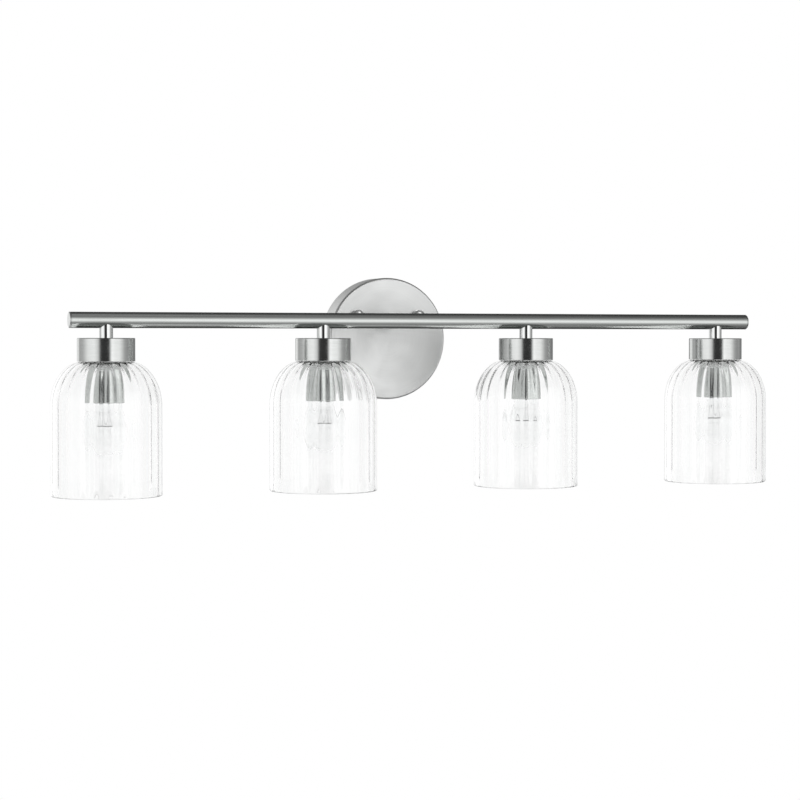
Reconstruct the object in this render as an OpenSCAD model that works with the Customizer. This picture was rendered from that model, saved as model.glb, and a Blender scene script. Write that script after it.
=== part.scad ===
// Vanity light bar: a round bar held off a wall canopy, with four lamps in ribbed glass shades.
// Origin: centre of the wall plate, on the wall. X runs along the bar, the wall is at Y = 0 with the
// room at -Y, and Z is up.

/* [Bar] */
// Length of the bar over its end plugs
bar_len = 746; // [720:1:900]
// Outer diameter of the bar
bar_d = 16; // [14:0.5:19]
// Wall of the bar tube
bar_wall = 1; // [0.8:0.1:1.4]
// Distance from one lamp to the next
lamp_pitch = 224; // [150:1:235]
// Height of the bar's axis above the canopy's centre
bar_rise = 18; // [14:1:24]
// Thickness of the flat head of an end plug
plug_head = 1.5; // [1:0.1:3]

/* [Canopy] */
// Diameter of the canopy
canopy_d = 132; // [122:1:160]
// Depth of the canopy
canopy_depth = 30; // [26:1:40]
// Sheet thickness of the canopy
canopy_wall = 1; // [0.8:0.1:2]
// Radius of the canopy's front edge
canopy_edge = 2; // [1:0.1:3]

/* [Arm] */
// Distance from the canopy's face to the bar's axis
standoff = 120; // [80:1:160]
// Outer diameter of the arm
arm_d = 15; // [13:0.5:17]
// Outer diameter of the threaded nipples in the arm and the lamps
nipple_d = 10; // [8.5:0.1:12]
// Wall of a nipple
nipple_wall = 1.2; // [1:0.1:1.4]

/* [Wall plate] */
// Width of the wall plate
plate_w = 104; // [100:1:106]
// Height of the wall plate
plate_h = 60; // [56:1:70]
// Thickness of the wall plate
plate_t = 1.6; // [1.2:0.1:2.5]
// Spacing of the outlet-box slots
box_spacing = 88.9; // [82:0.1:89]
// Width of an outlet-box slot
box_slot_w = 4.8; // [4.2:0.1:5.5]
// End-to-end length of an outlet-box slot
box_slot_len = 10; // [8:0.5:11]
// Diameter of the hole for the house wires
house_hole_d = 30; // [22:1:36]
// Spacing of the two studs that carry the canopy
stud_spacing = 70; // [64:1:76]
// Height of those studs above the canopy's centre
stud_rise = 24; // [20:0.5:25]
// Diameter of a stud
stud_d = 4; // [3.5:0.1:5]
// Diameter of a cap nut
cap_nut_d = 14.5; // [12:0.5:18]
// Height of a cap nut
cap_nut_h = 11; // [8:0.5:14]

/* [Lamp] */
// Diameter of the stem under the bar
stem_d = 13.5; // [12:0.5:16]
// Length of stem that shows between the bar and the shade holder
stem_gap = 9.7; // [6:0.1:30]
// Diameter of the shade holder
holder_d = 56.8; // [54:0.2:64]
// Height of the shade holder
holder_h = 23; // [20:0.5:30]
// Wall of the shade holder
holder_wall = 1; // [0.8:0.1:1.5]
// Diameter of the socket cup
cup_d = 35; // [34.6:0.2:36.4]
// Length of the socket cup below the shade holder
cup_drop = 41; // [36:0.5:48]
// Sheet thickness of the socket cup
cup_wall = 0.8; // [0.6:0.1:0.9]

/* [Shade] */
// Diameter of the glass shade
shade_d = 110; // [96:1:130]
// Height of glass below the shade holder
shade_h = 132.5; // [110:0.5:170]
// Height of the shade's curved shoulder
shoulder_h = 44; // [34:1:54]
// Thickness of the glass
glass_t = 3; // [2:0.1:3.6]
// Height of the threaded shade ring
ring_h = 8; // [6:0.5:12]

/* [Bulb] */
// Diameter of the bulb's globe
globe_d = 48; // [42:1:56]
// Length of bulb that shows below the socket cup
bulb_drop = 51.8; // [48:0.1:60]
// Diameter of the bulb's screw base over its thread
base_d = 26.4; // [26:0.1:26.5]
// Length of the bulb's whole base, from contact to skirt
base_h = 26; // [24:0.5:28]

/* [Wiring] */
// Diameter of an insulated wire
wire_d = 2.1; // [1.6:0.1:2.2]

/* [Hidden] */
$fn = 64;
run_gap = 0.05;      // radial gap of a thread or turned fit
slip_gap = 0.1;      // radial gap of a ring or nut turned by hand
play_gap = 0.3;      // gap around pieces that only pass through
lamp_count = 4;

// Bar and arm
bar_y = -(canopy_depth + standoff);
bar_r = bar_d / 2;
bar_bore = bar_r - bar_wall;
plug_spigot = 6;
arm_r = arm_d / 2;
arm_grip = 12;       // length of nipple inside the arm
nut_h = 4;
washer_h = 1;
nut_across = nipple_d + 6;
nipple_r = nipple_d / 2;
nipple_bore = nipple_r - nipple_wall;

// Lamp stack, measured down from the bar's axis
holder_top = bar_r + stem_gap;
holder_plate = 2;
holder_low = holder_top + holder_h;
holder_r = holder_d / 2;
holder_bore = holder_r - holder_wall;
seat_depth = 7.2;                        // counterbore that takes the glass neck
seat_z = holder_low - seat_depth;        // step that the gasket lies against
gasket_t = 1;
neck_r = holder_bore - 0.6;
neck_bore = neck_r - glass_t;
glass_top = seat_z + gasket_t;
seat_bore = neck_r - 2.8;                // upper bore of the holder
cup_r = cup_d / 2;
cup_top = holder_top + holder_plate;
cup_low = holder_low + cup_drop;
cup_plate = 1;
thread_rise = 0.35;                      // height of the cup's thread for the shade ring
glass_hole = cup_r + thread_rise + 0.45;
ring_top = glass_top + glass_t;
ring_bore = cup_r + thread_rise + slip_gap;
ring_r = neck_bore - 1.3;
nipple_top = bar_r + 1.5;

// Lampholder
hub_h = 4;
hub_r = nipple_r + 4;
holder_body_top = cup_top + cup_plate + hub_h;
body_r = cup_r - cup_wall - play_gap;
body_low = cup_low - 1.5;
floor_h = 3;                             // least thickness of the body's floor
base_r = base_d / 2;
shell_in = base_r + play_gap;
shell_wave = 0.4;
shell_wall = 0.35;
well_r = shell_in + shell_wave + shell_wall + run_gap;
thread_pitch = 3.6;

// Bulb, measured down from the bar's axis
globe_r = globe_d / 2;
bulb_low = cup_low + bulb_drop;
globe_z = bulb_low - globe_r;
bulb_wall = 0.7;
bulb_neck_r = base_r - 0.9;
base_length_total = 89;                  // whole length of the bulb
bulb_top = bulb_low - base_length_total;
base_low = bulb_top + base_h;
well_top = max(holder_body_top + floor_h, bulb_top - 8);
filament_z = globe_z - 5;
press_z = filament_z - 13;

// Shade
shade_r = shade_d / 2;
shade_low = holder_low + shade_h;
shoulder_z = holder_low + 0.2 + shoulder_h;
shoulder_in = neck_r - 3.5;              // centre of the shoulder's ellipse
rim_r = glass_t / 2;

// Wiring
ground_x = 24;                           // place of the ground screw, left of and below the centre
ground_z = 18;
ground_r = 2;
wire_r = wire_d / 2;
wire_y = 1.5;                            // wires either side of the bar's axis
live_z = 1.6;
neutral_z = -0.9;
lead_x = 1.5;                            // leads either side of the arm's axis
lead_bend = 5;
lead_reach = 20;                         // place of a wire connector beside the arm
lead_exit_y = -(canopy_depth - canopy_wall - washer_h - nut_h - 3);
connector_r = 5.2;
connector_h = 20;
connector_z = bar_rise - 14;

metal = "silver";
steel = "lightsteelblue";

LAMP_PARTS = ["stem", "shade_holder", "shade", "shade_ring", "socket_cup", "lampholder",
              "screw_shell", "bulb_glass", "bulb_base", "bulb_mount"];

function lamp_x(i) = (i - (lamp_count + 1) / 2) * lamp_pitch;

// Points of an ellipse's arc from angle a to angle b about (cx, cz), both ends included.
function arc_points(cx, cz, rx, rz, a, b, n) =
    [for (k = [0 : n]) let (t = a + (b - a) * k / n) [cx + rx * cos(t), cz + rz * sin(t)]];

// Points of a quadratic curve from p to r, pulled towards q.
function curve_points(p, q, r, n) =
    [for (k = [0 : n]) let (t = k / n) (1 - t) * (1 - t) * p + 2 * t * (1 - t) * q + t * t * r];

// Places children at lamp i with Z measured from the bar's axis.
module at_lamp(i) {
    translate([lamp_x(i), bar_y, bar_rise]) children();
}

// Cylinder along Y, from y0 to y1, at the given x and z.
module along_y(x, z, y0, y1, r) {
    translate([x, y0, z]) rotate([-90, 0, 0]) cylinder(h = y1 - y0, r = r);
}

// Cylinder along X, from x0 to x1, at the given y and z.
module along_x(y, z, x0, x1, r) {
    translate([x0, y, z]) rotate([0, 90, 0]) cylinder(h = x1 - x0, r = r);
}

// Round rod between two points.
module rod(p, q, r) {
    v = q - p;
    len = norm(v);
    translate(p)
        rotate([0, acos(v[2] / len), atan2(v[1], v[0])])
            cylinder(h = len, r = r, $fn = 24);
}

// Turned tube between two depths below the bar's axis.
module drop_tube(top, low, r, bore) {
    difference() {
        translate([0, 0, -low]) cylinder(h = low - top, r = r);
        translate([0, 0, -low - 1]) cylinder(h = low - top + 2, r = bore);
    }
}

// ---- Wall side ----

module wall_plate() {
    corner = 6;
    color(steel) difference() {
        rotate([90, 0, 0]) linear_extrude(plate_t) difference() {
            union() {
                square([plate_w - 2 * corner, plate_h], center = true);
                square([plate_w, plate_h - 2 * corner], center = true);
                for (x = [-1, 1], z = [-1, 1])
                    translate([x * (plate_w / 2 - corner), z * (plate_h / 2 - corner)])
                        circle(r = corner);
            }
            circle(d = house_hole_d);
        }
        for (side = [-1, 1]) {
            box_slot(side * box_spacing / 2);
            along_y(side * stud_spacing / 2, stud_rise, -plate_t - 1, 1, stud_d / 2 + run_gap);
        }
        along_y(-ground_x, -ground_z, -plate_t - 1, 1, ground_r + run_gap);
    }
}

// Slot for an outlet-box screw, centred at x.
module box_slot(x) {
    half = (box_slot_len - box_slot_w) / 2;
    for (end = [-half, half]) along_y(x + end, 0, -plate_t - 1, 1, box_slot_w / 2);
    translate([x - half, -plate_t - 1, -box_slot_w / 2]) cube([2 * half, plate_t + 2, box_slot_w]);
}

module ground_screw() {
    color("green") {
        along_y(-ground_x, -ground_z, -plate_t, 0, ground_r);
        translate([-ground_x, -plate_t, -ground_z]) rotate([90, 0, 0])
            cylinder(h = 3, r = 4.4, $fn = 6);
    }
}

// Two studs pressed into the wall plate, with a collar against its face.
module mounting_studs() {
    stud_end = canopy_depth + cap_nut_h - 5;
    color(steel) for (side = [-1, 1]) {
        along_y(side * stud_spacing / 2, stud_rise, -stud_end, 0, stud_d / 2);
        along_y(side * stud_spacing / 2, stud_rise, -plate_t - 2, -plate_t, stud_d / 2 + 1.5);
    }
}

// Domed nut on a stud, in front of the canopy.
module cap_nut(side) {
    r = cap_nut_d / 2;
    straight = cap_nut_h * 0.4;
    color(metal)
        translate([side * stud_spacing / 2, -canopy_depth - slip_gap, stud_rise]) rotate([90, 0, 0])
            difference() {
                rotate_extrude() polygon(concat(
                    [[0, 0], [r - 0.4, 0], [r, 0.4]],
                    arc_points(0, straight, r, cap_nut_h - straight, 0, 90, 16)));
                translate([0, 0, -1]) cylinder(h = cap_nut_h - 3, r = stud_d / 2 + slip_gap);
            }
}

module canopy() {
    r = canopy_d / 2;
    in_r = r - canopy_wall;
    in_edge = canopy_edge - canopy_wall;
    front = canopy_depth;
    color(metal) difference() {
        rotate([90, 0, 0]) rotate_extrude($fn = 128) polygon(concat(
            [[in_r, 0], [r, 0]],
            arc_points(r - canopy_edge, front - canopy_edge, canopy_edge, canopy_edge, 0, 90, 8),
            [[0, front], [0, front - canopy_wall]],
            arc_points(in_r - in_edge, front - canopy_wall - in_edge, in_edge, in_edge, 90, 0, 6)));
        along_y(0, bar_rise, -front - 1, -front + canopy_wall + 1, nipple_r + play_gap);
        for (side = [-1, 1])
            along_y(side * stud_spacing / 2, stud_rise, -front - 1, -front + canopy_wall + 1,
                    stud_d / 2 + play_gap);
    }
}

// ---- Arm ----

module arm_tube() {
    color(metal) difference() {
        along_y(0, bar_rise, bar_y, -canopy_depth, arm_r);
        along_y(0, bar_rise, bar_y - 1, -canopy_depth + 1, nipple_r + run_gap);
        along_x(bar_y, bar_rise, -arm_d, arm_d, bar_r);
    }
}

module arm_nipple() {
    end = -(canopy_depth - canopy_wall - washer_h - nut_h - 2);
    color("goldenrod") difference() {
        along_y(0, bar_rise, -canopy_depth - arm_grip, end, nipple_r);
        along_y(0, bar_rise, -canopy_depth - arm_grip - 1, end + 1, nipple_bore);
    }
}

// Flat washer and hex nut inside the canopy.
module arm_nut() {
    hole = nipple_r + run_gap;
    face = -canopy_depth + canopy_wall;
    color(steel) {
        difference() {
            along_y(0, bar_rise, face, face + washer_h, nut_across / 2 + 1);
            along_y(0, bar_rise, face - 1, face + washer_h + 1, hole);
        }
        difference() {
            translate([0, face + washer_h + nut_h, bar_rise]) rotate([90, 0, 0])
                cylinder(h = nut_h, r = nut_across / sqrt(3), $fn = 6);
            along_y(0, bar_rise, face, face + washer_h + nut_h + 1, hole);
        }
    }
}

// ---- Bar ----

module bar_tube() {
    half = bar_len / 2 - plug_head;
    color(metal) difference() {
        along_x(bar_y, bar_rise, -half, half, bar_r);
        along_x(bar_y, bar_rise, -half - 1, half + 1, bar_bore);
        for (i = [1 : lamp_count])
            at_lamp(i) translate([0, 0, -bar_d]) cylinder(h = bar_d, r = nipple_r - 0.5);
        along_y(0, bar_rise, bar_y, bar_y + bar_d, nipple_r - 0.5);
    }
}

// Plug pressed into an end of the bar, its flat head as wide as the bar.
module end_plug(side) {
    chamfer = 0.5;
    spigot_r = bar_bore - run_gap;
    inner = bar_len / 2 - plug_head;
    color(metal) translate([side * inner, bar_y, bar_rise]) rotate([0, side * 90, 0])
        rotate_extrude() polygon([
            [0, -plug_spigot], [spigot_r - chamfer, -plug_spigot], [spigot_r, chamfer - plug_spigot],
            [spigot_r, 0], [bar_r, 0], [bar_r, plug_head - chamfer], [bar_r - chamfer, plug_head],
            [0, plug_head]]);
}

// ---- Lamp units ----

// Polished sleeve, coped to the bar, that the lamp nipple screws into.
module stem() {
    color(metal) difference() {
        translate([0, 0, -holder_top]) cylinder(h = holder_top, d = stem_d);
        translate([0, 0, -holder_top - 1]) cylinder(h = holder_top + 2, r = nipple_r + run_gap);
        rotate([0, 90, 0]) cylinder(h = 2 * stem_d, r = bar_r, center = true);
    }
}

module lamp_nipple() {
    color("goldenrod") drop_tube(nipple_top, holder_body_top, nipple_r, nipple_bore);
}

// Turned drum with a step inside that the shade's neck is drawn up against.
module shade_holder() {
    edge = 0.8;
    hole = nipple_r + play_gap;
    color(metal) rotate_extrude($fn = 96) polygon(concat(
        [[hole, -holder_top]],
        arc_points(holder_r - edge, -holder_top - edge, edge, edge, 90, 0, 6),
        [[holder_r, 0.3 - holder_low], [holder_r - 0.3, -holder_low],
         [holder_bore, -holder_low], [holder_bore, -seat_z], [seat_bore, -seat_z],
         [seat_bore, -holder_top - holder_plate], [hole, -holder_top - holder_plate]]));
}

module shade_gasket() {
    color("whitesmoke") drop_tube(seat_z, glass_top, neck_r - 0.2, seat_bore + 0.2);
}

// Blown bell shade: a flat top with a hole, a short neck, an elliptical shoulder, a straight wall.
module shade() {
    out_a = shade_r - shoulder_in;
    in_a = out_a - glass_t;
    out_start = acos((neck_r - shoulder_in) / out_a);
    in_start = acos((neck_bore - shoulder_in) / in_a);
    color("lightcyan", 0.4) rotate_extrude($fn = 128) polygon(concat(
        [[glass_hole, -glass_top], [neck_r - 1, -glass_top], [neck_r, -glass_top - 1]],
        arc_points(shoulder_in, -shoulder_z, out_a, shoulder_h, out_start, 0, 20),
        arc_points(shade_r - rim_r, rim_r - shade_low, rim_r, rim_r, 0, -180, 10),
        arc_points(shoulder_in, -shoulder_z, in_a, shoulder_h - glass_t, 0, in_start, 20),
        [[neck_bore, -glass_top - glass_t], [glass_hole, -glass_top - glass_t]]));
}

// Ring with eight finger grips that clamps the glass from below.
module shade_ring() {
    grip_r = 2.2;
    color("gainsboro") difference() {
        drop_tube(ring_top, ring_top + ring_h, ring_r, ring_bore);
        for (a = [0 : 45 : 315]) rotate(a)
            translate([ring_r + grip_r * 0.6, 0, -ring_top - ring_h - 1])
                cylinder(h = ring_h - 1, r = grip_r, $fn = 24);
    }
}

// Drawn cup that covers the lampholder, with a rolled thread for the shade ring.
module socket_cup() {
    in_r = cup_r - cup_wall;
    turns = floor((ring_h + 4) / 1.5);
    thread_start = glass_top + glass_t;
    color(metal) rotate_extrude($fn = 96) polygon(concat(
        [[nipple_r + play_gap, -cup_top], [cup_r - 0.6, -cup_top], [cup_r, -cup_top - 0.6]],
        [for (k = [0 : turns - 1], step = [0, 1])
            [cup_r + step * thread_rise, -thread_start - (k + step * 0.5) * 1.5]],
        [[cup_r, -thread_start - turns * 1.5], [cup_r, -cup_low], [in_r, -cup_low],
         [in_r, -cup_top - cup_plate], [nipple_r + play_gap, -cup_top - cup_plate]]));
}

// Porcelain body with a threaded hub on top and a well for the screw shell.
module lampholder() {
    color("ivory") difference() {
        union() {
            translate([0, 0, -holder_body_top]) cylinder(h = hub_h, r = hub_r);
            translate([0, 0, -body_low]) cylinder(h = body_low - holder_body_top, r = body_r);
        }
        translate([0, 0, -holder_body_top]) cylinder(h = hub_h + 1, r = nipple_r + run_gap);
        translate([0, 0, -body_low - 1]) cylinder(h = body_low - well_top + 1, r = well_r);
        for (side = [-1, 1]) translate([0, side * wire_y, -well_top - 1])
            cylinder(h = well_top - holder_body_top + 2, r = wire_r + run_gap, $fn = 24);
    }
}

// Rolled shell whose waves stand for the socket's thread.
module screw_shell() {
    top = bulb_top + 3;
    turns = 6;
    step = thread_pitch / 8;
    waves = [for (k = [0 : turns * 8])
        [shell_in + shell_wave * (1 - cos(k * 45)) / 2, -top - k * step]];
    outside = [for (k = [turns * 8 : -1 : 0]) [waves[k][0] + shell_wall, waves[k][1]]];
    color("gold") rotate_extrude() polygon(concat(waves, outside));
}

// Sprung leaf from the well's floor to the bulb's contact.
module contact_tongue() {
    top = -well_top;
    tip = -bulb_top + play_gap;
    w = 5;
    t = 0.5;
    color("gold") translate([0, w / 2, 0]) rotate([90, 0, 0]) linear_extrude(w) polygon([
        [3, top], [10, top], [10, top - t], [4.4, top - t], [2.4, tip], [-2.4, tip],
        [-2.4, tip + t], [2, tip + t]]);
}

// ---- Bulb ----

// Clear envelope, open at the neck where the mount and the base close it.
module bulb_glass() {
    shoulder = 50;
    neck = bulb_neck_r;
    lift = globe_r * sin(shoulder);
    side = globe_r * cos(shoulder);
    reach = (side - neck) / sin(shoulder);
    bend = -globe_z + lift + reach * cos(shoulder);
    thin = globe_r - bulb_wall;
    start = [side, -globe_z + lift];
    in_start = [thin * cos(shoulder), -globe_z + thin * sin(shoulder)];
    color("azure", 0.4) rotate_extrude() polygon(concat(
        arc_points(0, -globe_z, globe_r, globe_r, -90, shoulder, 24),
        curve_points(start, [neck, bend], [neck, bend + 4.5], 6),
        [[neck, 4 - base_low], [neck - bulb_wall, 4 - base_low]],
        curve_points([neck - bulb_wall, bend + 4.5], [neck - bulb_wall, bend], in_start, 6),
        arc_points(0, -globe_z, thin, thin, shoulder, -90, 24)));
}

// Screw base: shell with rolled waves, black insulator and solder contact.
module bulb_base() {
    shell_top = bulb_top + 5.5;
    waves = 5;
    skirt = 1.5;
    rise = base_low - skirt - shell_top;
    wall = 0.4;
    function wave(k) = base_r - 0.55 + 0.55 * cos(k * 45 + 180);
    color("gainsboro") rotate_extrude() polygon(concat(
        [for (k = [0 : waves * 8]) [wave(k), -shell_top - k * rise / (waves * 8)]],
        [[base_r - 0.2, -base_low + skirt], [base_r - 0.2, -base_low],
         [bulb_neck_r + run_gap, -base_low], [bulb_neck_r + run_gap, -base_low + 4.2],
         [base_r - 1.1 - wall, -base_low + 5], [base_r - 1.1 - wall, -shell_top]]));
    color("dimgray") translate([0, 0, -shell_top]) rotate_extrude() polygon([
        [2.5, -1.5], [base_r - 1.1 - wall, -1.5], [base_r - 1.1 - wall, 0.2], [6, 4], [2.5, 4]]);
    color("silver") translate([0, 0, 4 - shell_top]) rotate_extrude() polygon(concat(
        [[0, -5], [2.5, -5], [2.5, 0]],
        arc_points(0, 0, 4.8, shell_top - 4 - bulb_top, 0, 90, 8)));
}

// Wire through a list of points, with a bead at each inner point.
module wire(points, r) {
    last = len(points) - 1;
    for (k = [0 : last - 1]) rod(points[k], points[k + 1], r);
    for (k = [1 : last - 1]) translate(points[k]) sphere(r = r + 0.1, $fn = 24);
}

// Glass stem with its flare, the two leads with the filament between them, and the filament's support.
module bulb_mount() {
    stem_r = 3.2;
    wire_thin = 0.4;
    half = 8;
    foot = -base_low + 2;
    flare_r = bulb_neck_r - bulb_wall - run_gap;
    color("azure") rotate_extrude() polygon([
        [0, -press_z], [stem_r - 0.6, -press_z], [stem_r, -press_z + 0.6], [stem_r, foot],
        [flare_r, foot + 3], [0, foot + 3]]);
    color("gray") wire([[-1.8, 0, -press_z + 1], [-half, 0, -filament_z],
        [0, 2.5, -filament_z], [half, 0, -filament_z], [1.8, 0, -press_z + 1]], wire_thin);
    color("gray") rod([0, 0.3, -press_z + 1], [0, 2.5, -filament_z], wire_thin / 2);
}

// ---- Wiring ----

// One conductor: a run along the bar, a drop to each lamp, and a lead through the arm to its connector.
module harness(side, z) {
    lead = side * lead_x;
    bend_y = lead_exit_y;
    reach = side * lead_reach;
    top = bar_rise + z;
    along_x(bar_y + side * wire_y, top, lamp_x(1) - wire_r, lamp_x(lamp_count) + wire_r, wire_r);
    for (i = [1 : lamp_count]) at_lamp(i) translate([0, side * wire_y, -well_top])
        cylinder(h = well_top + z, r = wire_r, $fn = 24);
    along_y(lead, top, bar_y + side * wire_y, bend_y, wire_r);
    // out of the nipple, sideways, then down
    translate([lead + side * lead_bend, bend_y, top]) rotate([0, 0, side > 0 ? 90 : 0])
        rotate_extrude(angle = 90) translate([lead_bend, 0]) circle(r = wire_r, $fn = 24);
    along_x(bend_y + lead_bend, top, min(lead, reach) + (side > 0 ? lead_bend : 3),
            max(lead, reach) - (side > 0 ? 3 : lead_bend), wire_r);
    translate([reach - side * 3, bend_y + lead_bend, top - 3]) rotate([90, 0, 0])
        rotate([0, 0, side > 0 ? 0 : 90])
            rotate_extrude(angle = 90) translate([3, 0]) circle(r = wire_r, $fn = 24);
    translate([reach, bend_y + lead_bend, connector_z]) cylinder(h = top - 3 - connector_z, r = wire_r);
}

module wire_connector(side) {
    color("orange") translate([side * lead_reach, lead_exit_y + lead_bend, connector_z - connector_h])
        difference() {
            rotate_extrude() polygon([
                [0, 0], [connector_r - 2.4, 0], [connector_r - 1.6, 0.8],
                [connector_r - 0.4, connector_h - 5], [connector_r, connector_h - 4],
                [connector_r, connector_h], [0, connector_h]]);
            translate([0, 0, connector_h - 0.5]) cylinder(h = 2, r = connector_r - 1);
        }
}

// Bare copper from the ground screw to the nut that holds the arm.
module ground_wire() {
    r = 0.8;
    start_y = -plate_t - 3 - r;
    nut_y = -canopy_depth + canopy_wall + washer_h + nut_h + r;
    path = [[-ground_x, start_y, -ground_z], [-ground_x + 7, start_y - 4, -10],
            [-12, nut_y + 1, 4], [-nut_across / 2 + 2, nut_y, bar_rise - 3]];
    color("darkorange") wire(path, r);
}

// ---- Nodes ----

wall_plate();
mounting_studs();
cap_nut(-1);  // cap_nut_left
cap_nut(1);  // cap_nut_right
ground_screw();
canopy();
arm_tube();
arm_nipple();
arm_nut();
bar_tube();
end_plug(-1);  // end_plug_left
end_plug(1);  // end_plug_right
for (i = [1 : lamp_count]) at_lamp(i) lamp_nipple();  // lamp_nipples
for (i = [1 : lamp_count]) at_lamp(i) shade_gasket();  // shade_gaskets
for (i = [1 : lamp_count]) at_lamp(i) contact_tongue();  // contact_tongues
color("black") harness(-1, live_z);  // live_wires
color("white") harness(1, neutral_z);  // neutral_wires
ground_wire();
for (side = [-1, 1]) wire_connector(side);  // wire_connectors
for (i = [1 : lamp_count]) {
    at_lamp(i) stem();
    at_lamp(i) shade_holder();
    at_lamp(i) shade();
    at_lamp(i) shade_ring();
    at_lamp(i) socket_cup();
    at_lamp(i) lampholder();
    at_lamp(i) screw_shell();
    at_lamp(i) bulb_glass();
    at_lamp(i) bulb_base();
    at_lamp(i) bulb_mount();
}
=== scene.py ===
import math

import bmesh
import bpy
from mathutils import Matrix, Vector


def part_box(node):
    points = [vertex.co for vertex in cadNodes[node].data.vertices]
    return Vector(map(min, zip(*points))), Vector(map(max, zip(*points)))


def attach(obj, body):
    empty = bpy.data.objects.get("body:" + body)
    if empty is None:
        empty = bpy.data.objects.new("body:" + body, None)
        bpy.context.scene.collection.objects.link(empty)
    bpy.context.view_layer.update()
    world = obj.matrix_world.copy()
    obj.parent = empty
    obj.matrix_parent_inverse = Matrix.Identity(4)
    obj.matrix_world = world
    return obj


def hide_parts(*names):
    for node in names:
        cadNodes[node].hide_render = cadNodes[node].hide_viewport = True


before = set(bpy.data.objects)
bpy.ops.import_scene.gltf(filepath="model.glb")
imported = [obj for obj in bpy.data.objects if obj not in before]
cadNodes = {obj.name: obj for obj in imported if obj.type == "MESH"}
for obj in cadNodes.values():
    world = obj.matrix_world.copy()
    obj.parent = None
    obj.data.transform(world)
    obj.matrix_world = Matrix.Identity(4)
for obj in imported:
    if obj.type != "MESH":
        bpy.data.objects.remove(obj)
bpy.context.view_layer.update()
lampNumbers = (1, 2, 3, 4)
fullTurn = 2 * math.pi


# places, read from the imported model

def middle(node):
    low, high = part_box(node)
    return (low + high) / 2


def lampAxis(number):
    spot = middle(f"socket_cup_{number}")
    return Vector((spot.x, spot.y, 0))


# mesh helpers

def arc(cx, cz, radius, startDeg, endDeg, steps):
    angles = [math.radians(startDeg + (endDeg - startDeg) * i / steps) for i in range(steps + 1)]
    return [(cx + radius * math.cos(a), cz + radius * math.sin(a)) for a in angles]


def rounded(corners, radius, steps=4):
    # the same outline with a small radius on every corner but the first and last
    out = [corners[0]]
    for before, here, after in zip(corners, corners[1:], corners[2:]):
        here = Vector(here)
        inward, outward = Vector(before) - here, Vector(after) - here
        reach = min(radius, inward.length * 0.45, outward.length * 0.45)
        a, b = here + inward.normalized() * reach, here + outward.normalized() * reach
        for i in range(steps + 1):
            t = i / steps
            out.append(tuple((1 - t) ** 2 * a + 2 * t * (1 - t) * here + t * t * b))
    return out + [corners[-1]]


def braced(corners, near=0.0002, longest=0.0025):
    # extra points beside the ends of long straight runs, so smooth shading stays flat along them
    out = [corners[0]]
    for a, b in zip(corners, corners[1:]):
        gap = math.dist(a, b)
        if gap > longest:
            step = (Vector(b) - Vector(a)) * near / gap
            out += [tuple(Vector(a) + step), tuple(Vector(b) - step)]
        out.append(b)
    return out


def showPiece(mesh, name, material, body, replaced):
    piece = bpy.data.objects.new(name, mesh)
    bpy.context.scene.collection.objects.link(piece)
    if material:
        mesh.materials.clear()
        mesh.materials.append(material)
    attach(piece, body)
    if replaced:
        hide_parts(*replaced)
    return piece


def turned(name, outline, centre, axis="z", steps=96, sharpDeg=35, loop=False):
    # a turned shape: outline is (radius, height) from pole to pole, or a closed loop
    mesh = bpy.data.meshes.new(name)
    bm = bmesh.new()
    uvs = bm.loops.layers.uv.new("turned")
    place = {"x": lambda r, c, s, h: (h, r * c, r * s), "y": lambda r, c, s, h: (r * c, h, r * s),
             "z": lambda r, c, s, h: (r * c, r * s, h)}[axis]
    rings, lengths, run = [], [], 0
    for i, (r, h) in enumerate(outline):
        if i:
            run += math.dist(outline[i - 1], outline[i])
        lengths.append(run)
        if r < 1e-7:
            rings.append([bm.verts.new(Vector(place(0, 1, 0, h)) + centre)])
        else:
            rings.append([bm.verts.new(Vector(place(r, math.cos(fullTurn * k / steps),
                          math.sin(fullTurn * k / steps), h)) + centre) for k in range(steps)])
    pairs = [(i, i + 1) for i in range(len(outline) - 1)]
    if loop:
        pairs.append((len(outline) - 1, 0))
    for i, j in pairs:
        if len(rings[i]) == 1 and len(rings[j]) == 1:
            continue
        vi, vj = lengths[i], lengths[j] if j else run + math.dist(outline[-1], outline[0])
        for k in range(steps):
            m = (k + 1) % steps
            spots = []
            if len(rings[i]) > 1:
                spots += [(rings[i][k], k, vi), (rings[i][m], k + 1, vi)]
            else:
                spots += [(rings[i][0], k + 0.5, vi)]
            if len(rings[j]) > 1:
                spots += [(rings[j][m], k + 1, vj), (rings[j][k], k, vj)]
            else:
                spots += [(rings[j][0], k + 0.5, vj)]
            face = bm.faces.new([s[0] for s in spots])
            for corner, (_, u, v) in zip(face.loops, spots):
                corner[uvs].uv = (u / steps, v)
    bmesh.ops.recalc_face_normals(bm, faces=bm.faces)
    for face in bm.faces:
        face.smooth = True
    bm.to_mesh(mesh)
    bm.free()
    mesh.set_sharp_from_angle(angle=math.radians(sharpDeg))
    return mesh


def roundWire(bm, points, radius, sides=10):
    # a capped round wire through points, added to bm
    points = [Vector(p) for p in points]
    rings, side = [], None
    for i, p in enumerate(points):
        along = (points[min(i + 1, len(points) - 1)] - points[max(i - 1, 0)]).normalized()
        side = (side or along.orthogonal())
        side = (side - along * side.dot(along)).normalized()
        other = along.cross(side)
        rings.append([bm.verts.new(p + radius * (math.cos(fullTurn * k / sides) * side
                      + math.sin(fullTurn * k / sides) * other)) for k in range(sides)])
    for a, b in zip(rings, rings[1:]):
        for k in range(sides):
            bm.faces.new([a[k], a[(k + 1) % sides], b[(k + 1) % sides], b[k]]).smooth = True
    bm.faces.new(rings[0][::-1])
    bm.faces.new(rings[-1])


def curved(p, bend, q, steps=8):
    p, bend, q = Vector(p), Vector(bend), Vector(q)
    return [(1 - t) ** 2 * p + 2 * t * (1 - t) * bend + t * t * q for t in [i / steps for i in range(steps + 1)]]


# shader groups

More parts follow.
